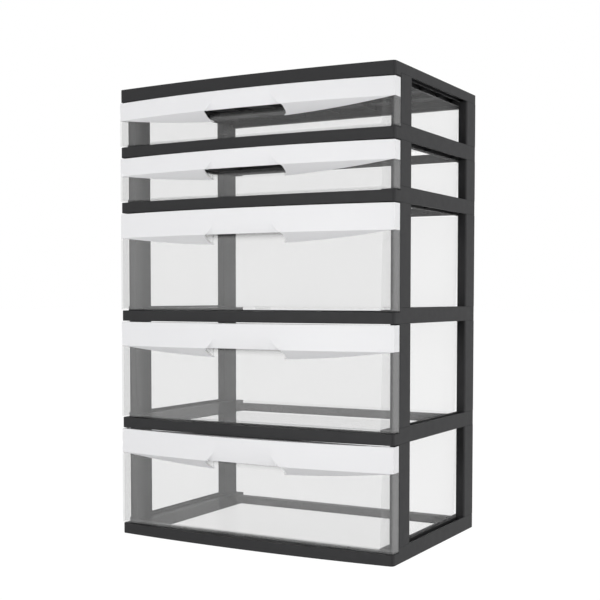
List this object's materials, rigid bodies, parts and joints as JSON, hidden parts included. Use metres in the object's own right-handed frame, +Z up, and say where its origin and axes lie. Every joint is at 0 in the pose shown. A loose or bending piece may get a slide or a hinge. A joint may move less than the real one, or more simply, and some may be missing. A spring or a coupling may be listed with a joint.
{
  "type": "plastic drawer tower",
  "caption": "Free-standing storage tower: clear sliding drawers with bowed grip bands, deep below and shallow above, in an open dark frame of shelf frames and corner posts.",
  "frame": {"origin": "middle of the footprint on the floor, under the frame and the drawers' grip bands", "axes": "+Z up, +X to the right seen from the front, the drawers open towards -Y"},
  "size_m": [0.58, 0.414, 0.86],
  "materials": {
    "frame_plastic": "moulded charcoal plastic with a fine satin texture",
    "clear_plastic": "clear glossy plastic with a faint grey tint",
    "band_plastic": "the same plastic with a frosted white texture on the grip band"
  },
  "bodies": {
    "frame": {"base_frame": "frame_plastic", "shelf_frame_1": "frame_plastic", "shelf_frame_2": "frame_plastic", "shelf_frame_3": "frame_plastic", "shelf_frame_4": "frame_plastic", "top_panel": "frame_plastic", "post_front_left_1": "frame_plastic", "post_front_right_1": "frame_plastic", "post_rear_left_1": "frame_plastic", "post_rear_right_1": "frame_plastic", "post_front_left_2": "frame_plastic", "post_front_right_2": "frame_plastic", "post_rear_left_2": "frame_plastic", "post_rear_right_2": "frame_plastic", "post_front_left_3": "frame_plastic", "post_front_right_3": "frame_plastic", "post_rear_left_3": "frame_plastic", "post_rear_right_3": "frame_plastic", "post_front_left_4": "frame_plastic", "post_front_right_4": "frame_plastic", "post_rear_left_4": "frame_plastic", "post_rear_right_4": "frame_plastic", "post_front_left_5": "frame_plastic", "post_front_right_5": "frame_plastic", "post_rear_left_5": "frame_plastic", "post_rear_right_5": "frame_plastic"},
    "drawer_1": {"drawer_1": "clear_plastic"},
    "drawer_2": {"drawer_2": "clear_plastic"},
    "drawer_3": {"drawer_3": "clear_plastic"},
    "drawer_4": {"drawer_4": "clear_plastic"},
    "drawer_5": {"drawer_5": "clear_plastic"}
  },
  "joints": [
    {"name": "drawer_1_slide", "type": "slide", "parent": "frame", "child": "drawer_1", "axis": [0, -1, 0], "range_m": [0, 0.27]},
    {"name": "drawer_2_slide", "type": "slide", "parent": "frame", "child": "drawer_2", "axis": [0, -1, 0], "range_m": [0, 0.27]},
    {"name": "drawer_3_slide", "type": "slide", "parent": "frame", "child": "drawer_3", "axis": [0, -1, 0], "range_m": [0, 0.27]},
    {"name": "drawer_4_slide", "type": "slide", "parent": "frame", "child": "drawer_4", "axis": [0, -1, 0], "range_m": [0, 0.27]},
    {"name": "drawer_5_slide", "type": "slide", "parent": "frame", "child": "drawer_5", "axis": [0, -1, 0], "range_m": [0, 0.27]}
  ]
}
